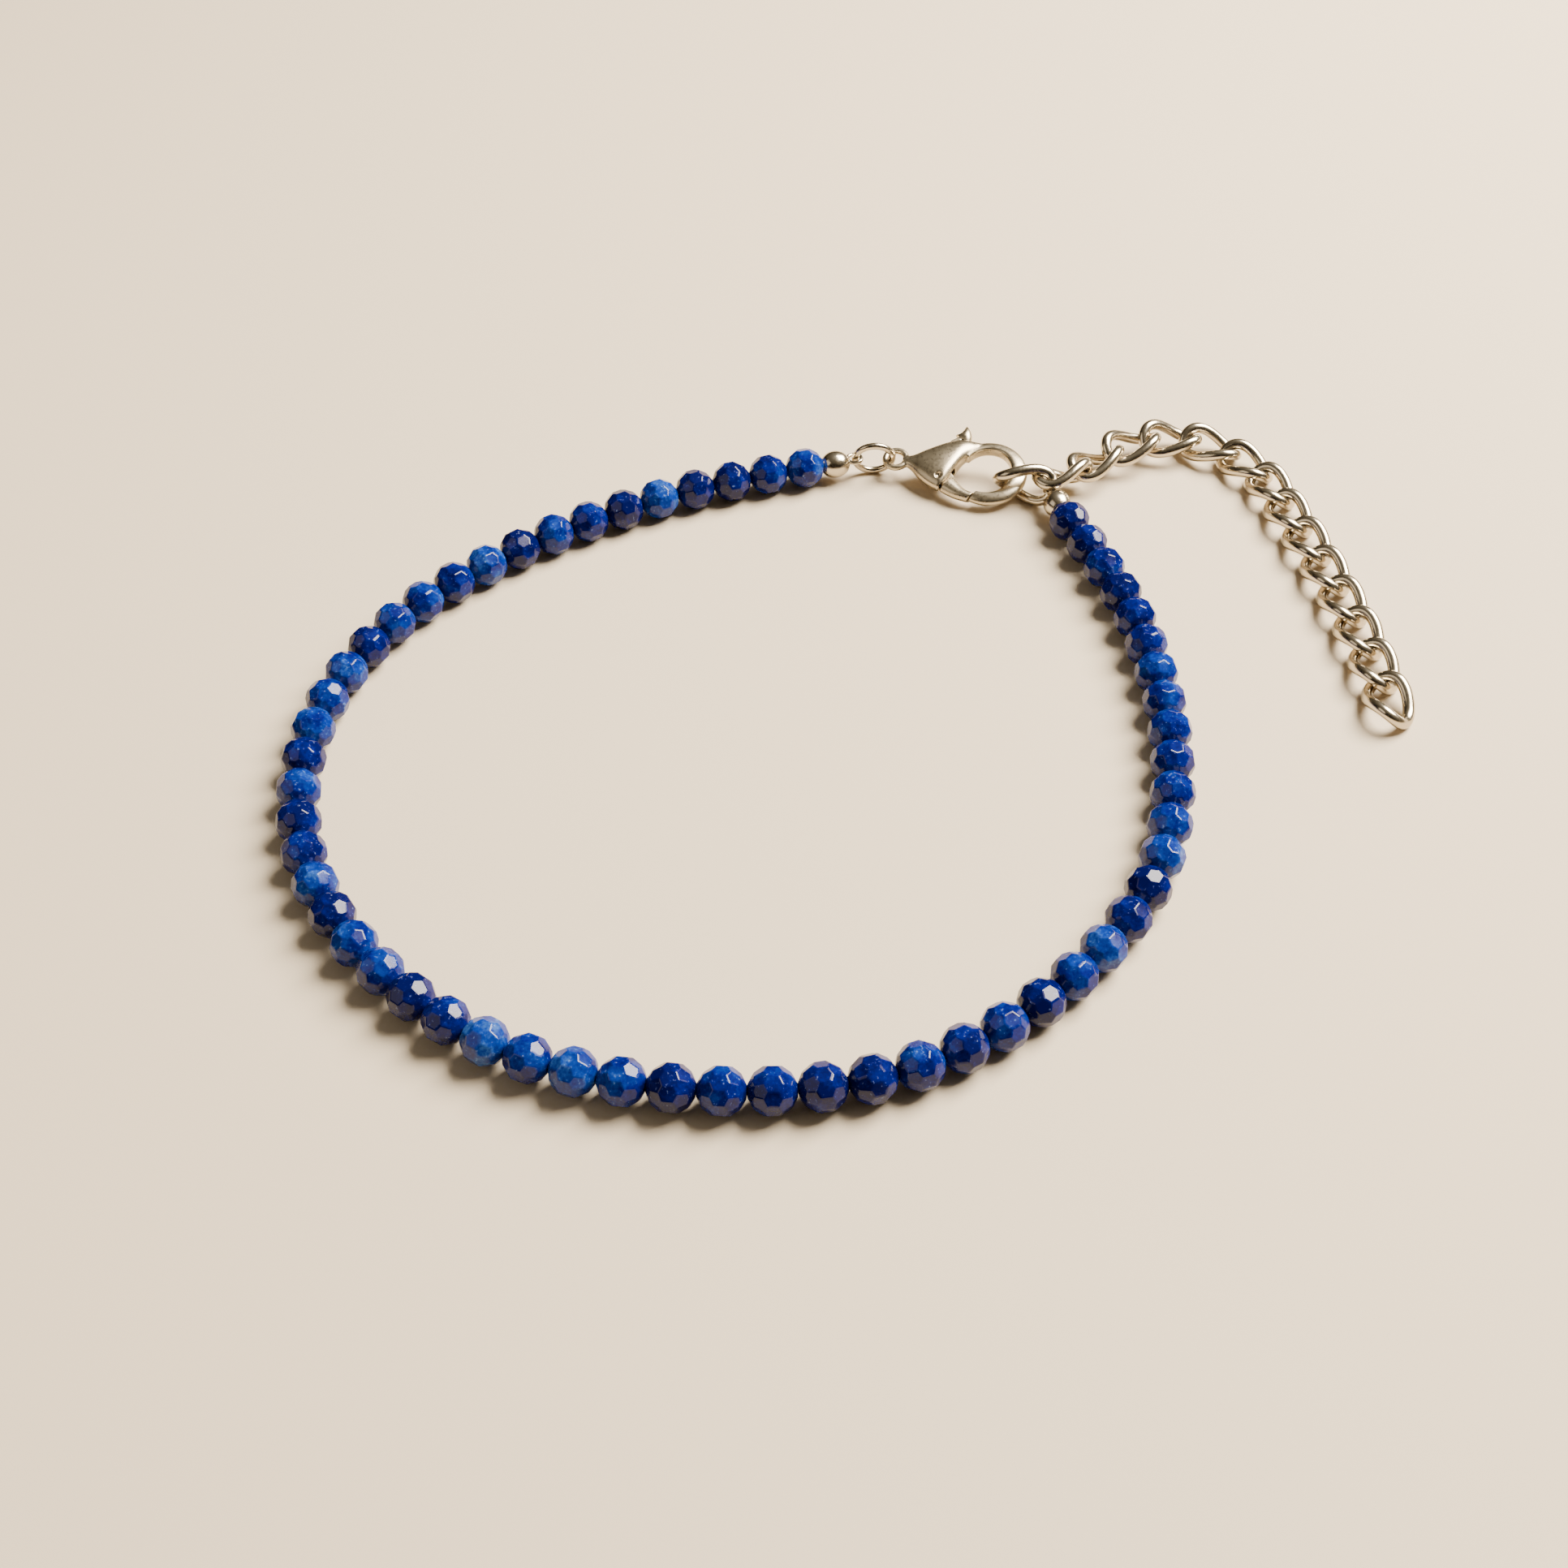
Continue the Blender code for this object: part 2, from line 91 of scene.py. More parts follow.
def add_node(tree, kind, inputs=None, **settings):
    """Adds a node, sets its properties, then fills or links its inputs by name or number."""
    node = tree.nodes.new(kind)
    for name, value in settings.items():
        setattr(node, name, value)
    for key, value in (inputs or {}).items():
        if isinstance(value, bpy.types.NodeSocket):
            tree.links.new(value, node.inputs[key])
        else:
            node.inputs[key].default_value = value
    return node


def add_ramp(tree, value, stops):
    """Adds a colour ramp on a value, with the stops given as (position, hex code)."""
    ramp = add_node(tree, "ShaderNodeValToRGB", {0: value})
    elements = ramp.color_ramp.elements
    elements[0].position, elements[1].position = stops[0][0], stops[-1][0]
    elements[0].color, elements[1].color = linear(stops[0][1]), linear(stops[-1][1])
    for position, code in stops[1:-1]:
        elements.new(position).color = linear(code)
    return ramp.outputs[0]


print("linear mid grey:", [round(v, 3) for v in linear("808080")])


# %% [markdown]
# Geometry Nodes trees take their sizes as named inputs. A modifier stores each input under the
# socket's identifier, not its name, so the values are set through the identifier before the
# object is first evaluated. The result is then copied to a plain mesh, which has no modifier.

# %% Trees, plain meshes and pieces
def new_tree(name, sizes):
    """A geometry tree with a geometry input, the named inputs given, and a geometry output."""
    tree = bpy.data.node_groups.new(name, "GeometryNodeTree")
    tree.interface.new_socket("Geometry", in_out="INPUT", socket_type="NodeSocketGeometry")
    for label, kind in sizes.items():
        tree.interface.new_socket(label, in_out="INPUT", socket_type="NodeSocket" + kind)
    tree.interface.new_socket("Geometry", in_out="OUTPUT", socket_type="NodeSocketGeometry")
    return tree, add_node(tree, "NodeGroupInput").outputs


def end_tree(tree, geometry, material):
    """Realizes the instances, sets the material and leads the geometry out of the tree."""
    real = add_node(tree, "GeometryNodeRealizeInstances", {0: geometry})
    painted = add_node(tree, "GeometryNodeSetMaterial",
                       {"Geometry": real.outputs[0], "Material": material})
    add_node(tree, "NodeGroupOutput", {0: painted.outputs[0]})


def plain_mesh(name, source):
    """The evaluated form of an object as a mesh of its own; the object is removed."""
    graph = bpy.context.evaluated_depsgraph_get()
    mesh = bpy.data.meshes.new_from_object(source.evaluated_get(graph))
    mesh.name = name
    bpy.data.objects.remove(source)
    return mesh


def run_tree(name, mesh, tree, values):
    """Runs a tree on a mesh with the values given and returns the plain mesh that it makes."""
    source = bpy.data.objects.new(name + "_source", mesh)
    bpy.context.scene.collection.objects.link(source)
    modifier = source.modifiers.new("tree", "NODES")
    modifier.node_group = tree
    for item in tree.interface.items_tree:
        if item.in_out == "INPUT" and item.name in values:
            modifier[item.identifier] = values[item.name]
    return plain_mesh(name, source)


def add_piece(name, mesh, body, replaced):
    """Puts a finished mesh in the scene on its body, in place of the CAD nodes that it stands for."""
    piece = bpy.data.objects.new(name, mesh)
    bpy.context.scene.collection.objects.link(piece)
    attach(piece, body)
    if replaced:
        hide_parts(*replaced)
    mesh.calc_loop_triangles()
    print(name, "has", len(mesh.loop_triangles), "triangles")
    return piece


# %% [markdown]
# ## Where the clasp lies
# The clasp leans on its edge, so its pieces are made flat, in a frame of their own, and placed
# by one matrix. The hinge in the record gives that frame: its axis is the clasp's normal, and
# its centre is the rivet. The direction along the clasp is level, at right angles to the axis.

# %% The clasp's frame
RIVET_ALONG = 5.2875 * MM
RIVET_SIDE = -1.2 * MM

hinge = frame["joints"][0]
rivet = Vector(hinge["pos_m"])
clasp_up = Vector(hinge["axis"]).normalized()
clasp_ahead = Vector((-clasp_up.y, clasp_up.x, 0)).normalized()
clasp_side = clasp_up.cross(clasp_ahead)
base_ring = rivet - clasp_ahead * RIVET_ALONG - clasp_side * RIVET_SIDE
clasp_axes = Matrix((clasp_ahead, clasp_side, clasp_up)).transposed()
clasp_place = Matrix.Translation(base_ring) @ clasp_axes.to_4x4()
print("base ring at", [round(v / MM, 2) for v in base_ring])


# %% [markdown]
# ## Camera
# The picture looks down at about 45 degrees, with the bead loop in its middle. The lens, the
# camera's place and its slight roll were fitted to the photo once; the place is given from the
# clasp's base ring, so it follows the part.

# %% The camera
LENS_MM = 48.09
ELEVATION = 45.31
ROLL = -1.13
CAMERA_OFFSET = Vector((-12.65, -181.94, 0)) * MM
CAMERA_HEIGHT = 137.0 * MM

camera_data = bpy.data.cameras.new("camera")
camera_data.lens = LENS_MM
camera_data.clip_start = 0.01
camera = bpy.data.objects.new("camera", camera_data)
camera.location = base_ring + CAMERA_OFFSET
camera.location.z = CAMERA_HEIGHT
pitch = Matrix.Rotation(math.radians(90 - ELEVATION), 3, "X")
camera.rotation_euler = (pitch @ Matrix.Rotation(math.radians(ROLL), 3, "Z")).to_euler()
bpy.context.scene.collection.objects.link(camera)
bpy.context.scene.camera = camera
print("camera at", [round(v, 4) for v in camera.location])


# %% [markdown]
# ## Floor and light
# A plain pale floor and one large soft light, high and to the right behind the anklet: its
# reflection is the pale square that shows on one facet of nearly every bead. The world is a dim
# warm room, because polished metal is mostly a picture of what surrounds it.

# %% Floor
floor_paint = bpy.data.materials.new("matt_paper_backdrop")
floor_paint.use_nodes = True
floor_shader = floor_paint.node_tree.nodes["Principled BSDF"]
floor_shader.inputs["Base Color"].default_value = linear("cfbfa6")
floor_shader.inputs["Roughness"].default_value = 0.95
floor_shader.inputs["Specular IOR Level"].default_value = 0.2

FLOOR_HALF = 1.5
FLOOR_HEIGHT = -0.02 * MM   # just under the beads, so that no faces coincide
floor_mesh = bpy.data.meshes.new("floor")
corners = [(x * FLOOR_HALF, y * FLOOR_HALF, FLOOR_HEIGHT)
           for x, y in ((-1, -1), (1, -1), (1, 1), (-1, 1))]
floor_mesh.from_pydata(corners, [], [(0, 1, 2, 3)])
floor_mesh.materials.append(floor_paint)
floor = bpy.data.objects.new("floor", floor_mesh)
bpy.context.scene.collection.objects.link(floor)
print("floor of", 2 * FLOOR_HALF, "m")


# %% Lights
def add_light(name, direction, distance, width, height, power, colour):
    """A rectangular soft light that faces the middle of the anklet."""
    data = bpy.data.lights.new(name, "AREA")
    data.shape = "RECTANGLE"
    data.size = width
    data.size_y = height
    data.energy = power
    data.color = linear(colour)[:3]
    lamp = bpy.data.objects.new(name, data)
    towards = Vector(direction).normalized()
    lamp.location = towards * distance
    lamp.rotation_euler = towards.to_track_quat("Z", "Y").to_euler()
    bpy.context.scene.collection.objects.link(lamp)


add_light("key_window", (0.57, 0.30, 0.76), 0.6, 0.38, 0.38, 21.5, "fff6e8")
add_light("fill_card", (-0.7, -0.25, 0.5), 0.7, 0.5, 0.4, 0.8, "fff1dc")

world = bpy.data.worlds.new("studio")
bpy.context.scene.world = world
world.use_nodes = True
room = world.node_tree
direction = add_node(room, "ShaderNodeTexCoord").outputs["Generated"]
window = add_node(room, "ShaderNodeVectorMath", {0: direction, 1: (0.42, 0.3, 0.86)},
                  operation="DOT_PRODUCT")
shades = add_ramp(room, window.outputs["Value"],
                  [(0.0, "3a3226"), (0.3, "655945"), (0.65, "b9ac94"), (1.0, "fbf7ee")])
room.links.new(shades, room.nodes["Background"].inputs["Color"])
room.nodes["Background"].inputs["Strength"].default_value = 0.37


# %% [markdown]
# ## Stone
# The beads are lapis lazuli, cut and then tumble polished. To the eye that is a deep ultramarine
# with a fine pale grain of calcite in it, cloudier and bluer in one bead than in the next, under
# a glassy polish that mirrors the window in one flat facet. The index of refraction is lapis's
# own, 1.5. Each bead carries a number, "tone", that shifts it along the same scale of blues.

# %% Lapis
CLOUD_MM = 1.8
GRAIN_MM = 0.28   # the real grain is finer; this is as coarse as it has to be to show
CLOUD_SHARE, TONE_SHARE, GRAIN_SHARE = 0.85, 0.4, 0.42   # how much each moves the blue along its scale
DARKENED = -0.29

lapis = bpy.data.materials.new("polished_lapis_lazuli")
lapis.use_nodes = True
tree = lapis.node_tree
stone_shader = tree.nodes["Principled BSDF"]
stone_shader.inputs["IOR"].default_value = 1.5
stone_shader.inputs["Specular IOR Level"].default_value = 0.27
place = add_node(tree, "ShaderNodeTexCoord").outputs["Object"]
tone = add_node(tree, "ShaderNodeAttribute", attribute_name="tone").outputs["Fac"]
clouds = add_node(tree, "ShaderNodeTexNoise",
                  {"Vector": place, "Scale": 1 / (CLOUD_MM * MM), "Detail": 4.0})
grain = add_node(tree, "ShaderNodeTexNoise",
                 {"Vector": place, "Scale": 1 / (GRAIN_MM * MM), "Detail": 3.0})
cloudy = add_node(tree, "ShaderNodeMath", {0: clouds.outputs["Fac"], 1: CLOUD_SHARE, 2: DARKENED},
                  operation="MULTIPLY_ADD")
toned = add_node(tree, "ShaderNodeMath", {0: tone, 1: TONE_SHARE, 2: cloudy.outputs[0]},
                 operation="MULTIPLY_ADD")
grained = add_node(tree, "ShaderNodeMath", {0: grain.outputs["Fac"], 1: GRAIN_SHARE, 2: toned.outputs[0]},
                   operation="MULTIPLY_ADD")
blues = add_ramp(tree, grained.outputs[0],
                 [(0.36, "02043e"), (0.55, "030d5a"), (0.74, "0a2a78"), (0.95, "2f5a9c")])
specks = add_node(tree, "ShaderNodeMapRange", {0: grain.outputs["Fac"], 1: 0.64, 2: 0.8, 3: 0.0, 4: 0.4})
speckled = add_node(tree, "ShaderNodeMix", {0: specks.outputs[0], 6: blues, 7: linear("8fa6cf")},
                    data_type="RGBA")
tree.links.new(speckled.outputs[2], stone_shader.inputs["Base Color"])
polish = add_node(tree, "ShaderNodeMapRange", {0: clouds.outputs["Fac"], 1: 0.3, 2: 0.7, 3: 0.07, 4: 0.14})
tree.links.new(polish.outputs[0], stone_shader.inputs["Roughness"])
print("stone:", len(tree.nodes), "nodes")


# %% [markdown]
# ## Metal
# Clasp, rings and chain are brass with a bright rhodium plating, which is a slightly warm white
# silver. The clasp is cast and barrel polished, so its surface is softly uneven; rings and links
# are drawn wire, cleaner and brighter. One function makes both, with the size and depth of the
# unevenness and the polish as its values.

# %% Plated brass
WEAR_MM = 0.25   # size of the faint patches in the polish


def plated_brass(name, code, uneven_mm, depth_mm, smooth, rough):
    """A plated metal: a faint unevenness of the real size in the relief, and of the polish."""
    paint = bpy.data.materials.new(name)
    paint.use_nodes = True
    tree = paint.node_tree
    shader = tree.nodes["Principled BSDF"]
    shader.inputs["Base Color"].default_value = linear(code)
    shader.inputs["Metallic"].default_value = 1.0
    place = add_node(tree, "ShaderNodeTexCoord").outputs["Object"]
    waves = add_node(tree, "ShaderNodeTexNoise",
                     {"Vector": place, "Scale": 1 / (uneven_mm * MM), "Detail": 2.0})
    wear = add_node(tree, "ShaderNodeTexNoise",
                    {"Vector": place, "Scale": 1 / (WEAR_MM * MM), "Detail": 3.0})
    polish = add_node(tree, "ShaderNodeMapRange",
                      {0: wear.outputs["Fac"], 1: 0.3, 2: 0.7, 3: smooth, 4: rough})
    relief = add_node(tree, "ShaderNodeBump",
                      {"Height": waves.outputs["Fac"], "Strength": 1.0, "Distance": depth_mm * MM})
    tree.links.new(polish.outputs[0], shader.inputs["Roughness"])
    tree.links.new(relief.outputs[0], shader.inputs["Normal"])
    return paint


cast_silver = plated_brass("cast_rhodium_plated_brass", "b8ab92", 1.5, 0.012, 0.26, 0.36)
wire_silver = plated_brass("drawn_rhodium_plated_brass", "c4b8a2", 0.8, 0.005, 0.16, 0.26)
print("metals:", cast_silver.name, wire_silver.name)


# %% [markdown]
# ## Beads
# A faceted bead is a ball ground flat, facet by facet, each at nearly the same distance from its
# centre, with every other row shifted by half a facet. It can be made the same way here: planes
# cut a rough block, row by row round the drill axis, and each cut is closed by a flat face.
# Listing the vertices would be longer and less true. The sharp edges are then taken off, as
# tumbling does.

# %% One cut bead
FACETS_ROUND = 10
# Each row: degrees from the bead's equator, mm from its centre, shift in facets.
FACET_ROWS = ((0, 1.975, 0), (33, 1.985, 0.5), (-33, 1.985, 0.5), (61, 2.02, 0), (-61, 2.02, 0))
END_REACH = 2.01 * MM      # from the centre to the flat round the drilled hole
HOLE_RADIUS = 0.35 * MM
HOLE_DEPTH = 1.2 * MM
EDGE_WEAR = 0.12 * MM
LEAST_END_AREA = 0.2 * MM * MM   # the flats at the holes are larger, slivers beside them smaller


def cut_flat(shape, normal, reach):
    """Cuts off what lies beyond a plane and closes the cut with one flat face."""
    everything = shape.verts[:] + shape.edges[:] + shape.faces[:]
    bmesh.ops.bisect_plane(shape, geom=everything, plane_co=normal * reach, plane_no=normal,
                           clear_outer=True)
    rim = [edge for edge in shape.edges if edge.is_boundary]
    if rim:
        bmesh.ops.holes_fill(shape, edges=rim)


def cut_bead():
    shape = bmesh.new()
    bmesh.ops.create_cube(shape, size=3 * END_REACH)
    for latitude, reach_mm, start in FACET_ROWS:
        rise = math.radians(latitude)
        for i in range(FACETS_ROUND):
            angle = 2 * math.pi * (i + start) / FACETS_ROUND
            around = Vector((0, math.cos(angle), math.sin(angle))) * math.cos(rise)
            cut_flat(shape, around + Vector((math.sin(rise), 0, 0)), reach_mm * MM)
    for end in (-1, 1):
        cut_flat(shape, Vector((end, 0, 0)), END_REACH)
    bmesh.ops.remove_doubles(shape, verts=shape.verts, dist=0.001 * MM)
    bmesh.ops.bevel(shape, geom=shape.edges[:], offset=EDGE_WEAR, segments=2, profile=0.6, affect="EDGES")
    ends = [face for face in shape.faces
            if abs(face.normal.x) > 0.999 and face.calc_area() > LEAST_END_AREA]
    size = max(math.hypot(v.co.y, v.co.z) for face in ends for v in face.verts)
    bmesh.ops.inset_individual(shape, faces=ends, thickness=size - HOLE_RADIUS)
    for bored in bmesh.ops.extrude_discrete_faces(shape, faces=ends)["faces"]:
        inwards = -math.copysign(HOLE_DEPTH, bored.normal.x)
        bmesh.ops.translate(shape, verts=bored.verts[:], vec=(inwards, 0, 0))
    mesh = bpy.data.meshes.new("cut_bead")
    shape.to_mesh(mesh)
    reach = max(v.co.length for v in shape.verts)
    shape.free()
    print("bead:", len(mesh.polygons), "faces, widest at", round(reach / MM, 3), "mm from its centre")
    return mesh, reach


bead_mesh, bead_reach = cut_bead()


# %% [markdown]
# The CAD string stands on one flat facet of every bead, so its lowest points, four to a bead,
# show where each bead is. Points closer than half a bead belong to the same one. The beads are
# then put in order along the thread, starting beside the left tip.

# %% Where the beads are
def bead_places():
    low = {tuple(round(value / MM, 3) for value in vertex.co[:2])
           for vertex in nodes["bead_string"].data.vertices if vertex.co.z < 0.01 * MM}
    found = []
    while low:
        first = low.pop()
        group = [point for point in low if math.dist(point, first) < 2.0]
        low -= set(group)
        group.append(first)
        found.append(Vector((sum(p[0] for p in group), sum(p[1] for p in group))) * MM / len(group))
    corner = sum(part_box("bead_tip_left"), Vector()) / 2
    order = [corner.xy]
    while found:
        nearest = min(found, key=lambda place: (place - order[-1]).length)
        found.remove(nearest)
        order.append(nearest)
    return [Vector((*place, bead_reach)) for place in order[1:]]


beads = bead_places()
steps = [(b - a).length for a, b in zip(beads, beads[1:])]
print(len(beads), "beads,", round(min(steps) / MM, 2), "to", round(max(steps) / MM, 2), "mm apart")


# %% [markdown]
# ## Stringing the beads
# A strung bead follows the thread but turns freely on it, so each shows other facets. One mesh of
# points along the string carries the thread's direction; the tree puts a bead on every point,
# lines it up with the thread, and gives it a roll, a slight tilt and a tone of its own.

# %% The string tree
BEAD_TILT = 0.05   # radians that a bead may lean either way on its thread


def string_tree():
    tree, given = new_tree("strung_beads",
                           {"Bead": "Object", "Seed": "Int", "Tilt": "Float", "Stone": "Material"})
    bead = add_node(tree, "GeometryNodeObjectInfo", {"Object": given["Bead"]})
    thread = add_node(tree, "GeometryNodeInputNamedAttribute", {"Name": "ahead"}, data_type="FLOAT_VECTOR")
    lined = add_node(tree, "FunctionNodeAlignRotationToVector", {"Vector": thread.outputs[0]}, axis="X")
    tilt_low = add_node(tree, "ShaderNodeMath", {0: given["Tilt"], 1: -1.0}, operation="MULTIPLY")
    lowest = add_node(tree, "ShaderNodeCombineXYZ", {1: tilt_low.outputs[0], 2: tilt_low.outputs[0]})
    highest = add_node(tree, "ShaderNodeCombineXYZ",
                       {0: 2 * math.pi, 1: given["Tilt"], 2: given["Tilt"]})
    spin = add_node(tree, "FunctionNodeRandomValue",
                    {0: lowest.outputs[0], 1: highest.outputs[0], 8: given["Seed"]},
                    data_type="FLOAT_VECTOR")
    roll = add_node(tree, "FunctionNodeEulerToRotation", {0: spin.outputs[0]})
    turned = add_node(tree, "FunctionNodeRotateRotation", {0: lined.outputs[0], 1: roll.outputs[0]},
                      rotation_space="LOCAL")
    strung = add_node(tree, "GeometryNodeInstanceOnPoints",
                      {"Points": given["Geometry"], "Instance": bead.outputs["Geometry"],
                       "Rotation": turned.outputs[0]})
    tones = add_node(tree, "FunctionNodeRandomValue", {8: given["Seed"]}, data_type="FLOAT")
    toned = add_node(tree, "GeometryNodeStoreNamedAttribute",
                     {"Geometry": strung.outputs[0], "Name": "tone", "Value": tones.outputs[1]},
                     data_type="FLOAT", domain="INSTANCE")
    end_tree(tree, toned.outputs[0], given["Stone"])
    return tree


def point_mesh(name, points, vectors):
    """A mesh of loose points, each with the vectors named."""
    mesh = bpy.data.meshes.new(name)
    mesh.from_pydata(points, [], [])
    for label, values in vectors.items():
        layer = mesh.attributes.new(label, "FLOAT_VECTOR", "POINT")
        for item, value in zip(layer.data, values):
            item.vector = value
    return mesh


aheads = [(b - a).normalized() for a, b in zip([beads[0]] + beads[:-1], beads[1:] + [beads[-1]])]
bead_object = bpy.data.objects.new("cut_bead", bead_mesh)
string_points = point_mesh("string_points", beads, {"ahead": aheads})
string_mesh = run_tree("lapis_beads", string_points, string_tree(),
                       {"Bead": bead_object, "Seed": 7, "Tilt": BEAD_TILT, "Stone": lapis})
bpy.data.objects.remove(bead_object)
add_piece("lapis_beads", string_mesh, "anklet", ["bead_string"])


# %% [markdown]
# ## Wire
# The thread, the jump ring and the chain's links are all round wire along a path, so one tree
# sweeps a circle along a mesh of edges. A closed loop of edges gives a closed ring.

# %% The wire tree and the thread
def wire_tree():
    tree, given = new_tree("round_wire", {"Wire Diameter": "Float", "Sides": "Int", "Metal": "Material"})
    path = add_node(tree, "GeometryNodeMeshToCurve", {0: given["Geometry"]})
    radius = add_node(tree, "ShaderNodeMath", {0: given["Wire Diameter"], 1: 0.5}, operation="MULTIPLY")
    outline = add_node(tree, "GeometryNodeCurvePrimitiveCircle",
                       {"Resolution": given["Sides"], "Radius": radius.outputs[0]}, mode="RADIUS")
    swept = add_node(tree, "GeometryNodeCurveToMesh",
                     {"Curve": path.outputs[0], "Profile Curve": outline.outputs[0], "Fill Caps": True})
    smooth = add_node(tree, "GeometryNodeSetShadeSmooth", {"Geometry": swept.outputs[0]})
    end_tree(tree, smooth.outputs[0], given["Metal"])
    return tree


def path_mesh(name, points, closed):
    edges = [(i, i + 1) for i in range(len(points) - 1)]
    if closed:
        edges.append((len(points) - 1, 0))
    mesh = bpy.data.meshes.new(name)
    mesh.from_pydata(points, edges, [])
    return mesh


THREAD_DIAMETER = 0.5 * MM
THREAD_END = 2.9 * MM   # how far it goes on from the last bead's centre, into the tip
STRAND_MM = 0.15

thread_paint = bpy.data.materials.new("bonded_nylon_thread")
thread_paint.use_nodes = True
tree = thread_paint.node_tree
place = add_node(tree, "ShaderNodeTexCoord").outputs["Object"]
strands = add_node(tree, "ShaderNodeTexNoise", {"Vector": place, "Scale": 1 / (STRAND_MM * MM)})
fray = add_node(tree, "ShaderNodeBump", {"Height": strands.outputs["Fac"], "Distance": 0.03 * MM})
thread_shader = tree.nodes["Principled BSDF"]
tree.links.new(fray.outputs[0], thread_shader.inputs["Normal"])
thread_shader.inputs["Base Color"].default_value = linear("0c1440")
thread_shader.inputs["Roughness"].default_value = 0.6

wires = wire_tree()
run = [beads[0] - aheads[0] * THREAD_END] + beads + [beads[-1] + aheads[-1] * THREAD_END]
thread_mesh = run_tree("thread", path_mesh("thread_path", run, False), wires,
                       {"Wire Diameter": THREAD_DIAMETER, "Sides": 10, "Metal": thread_paint})
add_piece("thread", thread_mesh, "anklet", [])


# %% [markdown]
# ## Chain
# A curb link is an oval of wire twisted until it lies flat against its neighbours. The oval and
# its twist are one formula. Where each link lies is read from its CAD solid: the solid's longest,
# middle and shortest directions are the link's own axes, and a link looks the same turned half
# round any of them, so their signs don't matter.
#
# The wire here is as thick as the real one, thicker than the solid's, so a link can't lie just
# where its solid does without running through the next. Each is moved a little, the first ones
# also lean less than the solids do, and link 1 is rolled about its length to clear the hook.

# %% One link's path and every link's place
LINK_LENGTH = 7.05 * MM
LINK_WIDTH = 4.8 * MM
LINK_WIRE = 1.15 * MM
LINK_TWIST = 0.75 * MM
LINK_POINTS = 56

link_path = []
for i in range(LINK_POINTS):
    angle = 2 * math.pi * i / LINK_POINTS
    link_path.append(Vector(((LINK_LENGTH - LINK_WIRE) / 2 * math.cos(angle),
                             (LINK_WIDTH - LINK_WIRE) / 2 * math.sin(angle),
                             -LINK_TWIST * math.sin(2 * angle))))


def node_frame(name):
    """The centre of a CAD node and the rotation to its longest, middle and shortest directions."""
    points = np.unique(np.round([vertex.co[:] for vertex in nodes[name].data.vertices], 7), axis=0)
    centre = points.mean(0)
    axes = np.linalg.svd(points - centre, full_matrices=False)[2]
    axes[2] = np.cross(axes[0], axes[1])
    return Vector(centre), Matrix(axes.T.tolist())


link_names = sorted(name for name in nodes if name.startswith("chain_link_"))
link_frames = [node_frame(name) for name in link_names]
# How far the links lie from the solids', x, y and z in mm: the first eight, then all the others.
SHIFTS_MM = [(0.11, 0.25, 0.88), (0.37, 0.17, 0.13), (0.25, 0.08, -0.06), (0.35, 0, 0.5), (0.5, -0.27, 0.5),
             (0.3, -0.45, 0.3), (0, -0.5, 0.15), (-0.15, -0.35, 0.14)] + [(-0.36, -0.32, 0.14)] * 7
LEANS = {1: -35, 2: -18, 3: 0, 4: 4, 5: 4, 6: 2}   # how far links 2 to 7 lean back, in degrees
FIRST_ROLL = -21.4   # degrees that link 1 rolls about its length, between the hook and link 2
CHAIN_TOP = cad_box[1][2]

centres = [centre + Vector(shift) * MM for (centre, _), shift in zip(link_frames, SHIFTS_MM)]
for i, centre in enumerate(centres):
    rotation = link_frames[i][1]
    if i == 0:
        ahead = rotation.col[0] * math.copysign(1, rotation.col[0].x)
        rotation = Matrix.Rotation(math.radians(FIRST_ROLL), 3, ahead) @ rotation
    if i in LEANS:
        ahead = (centres[i + 1] - centres[i - 1]).normalized()
        side = Vector((0, 0, 1)).cross(ahead).normalized()
        rise = math.radians(LEANS[i])
        far_side = side * math.cos(rise) + ahead.cross(side) * math.sin(rise)
        rotation = Matrix((ahead, far_side, ahead.cross(far_side))).transposed()
    heights = [(rotation @ point).z for point in link_path]
    lowest, highest = LINK_WIRE / 2 - min(heights), CHAIN_TOP - LINK_WIRE / 2 - max(heights)
    if lowest > highest:
        lowest = highest = (lowest + highest) / 2
    link_frames[i] = (Vector((centre.x, centre.y, min(max(centre.z, lowest), highest))), rotation)
print(len(link_names), "links; the last is centred at", [round(v / MM, 2) for v in link_frames[-1][0]])


# %% The chain tree
def chain_tree():
    tree, given = new_tree("linked_chain", {"Link": "Object", "Metal": "Material"})
    link = add_node(tree, "GeometryNodeObjectInfo", {"Object": given["Link"]})
    turn = add_node(tree, "GeometryNodeInputNamedAttribute", {"Name": "turn"}, data_type="FLOAT_VECTOR")
    turned = add_node(tree, "FunctionNodeEulerToRotation", {0: turn.outputs[0]})
    linked = add_node(tree, "GeometryNodeInstanceOnPoints",
                      {"Points": given["Geometry"], "Instance": link.outputs["Geometry"],
                       "Rotation": turned.outputs[0]})
    end_tree(tree, linked.outputs[0], given["Metal"])
    return tree


link_mesh = run_tree("link", path_mesh("link_path", link_path, True), wires,
                     {"Wire Diameter": LINK_WIRE, "Sides": 14, "Metal": wire_silver})
link_object = bpy.data.objects.new("link", link_mesh)
turns = [rotation.to_euler() for _, rotation in link_frames]
link_points = point_mesh("chain_points", [centre for centre, _ in link_frames], {"turn": turns})
chain_mesh = run_tree("extender_chain", link_points, chain_tree(),
                      {"Link": link_object, "Metal": wire_silver})
bpy.data.objects.remove(link_object)
add_piece("extender_chain", chain_mesh, "anklet", link_names)


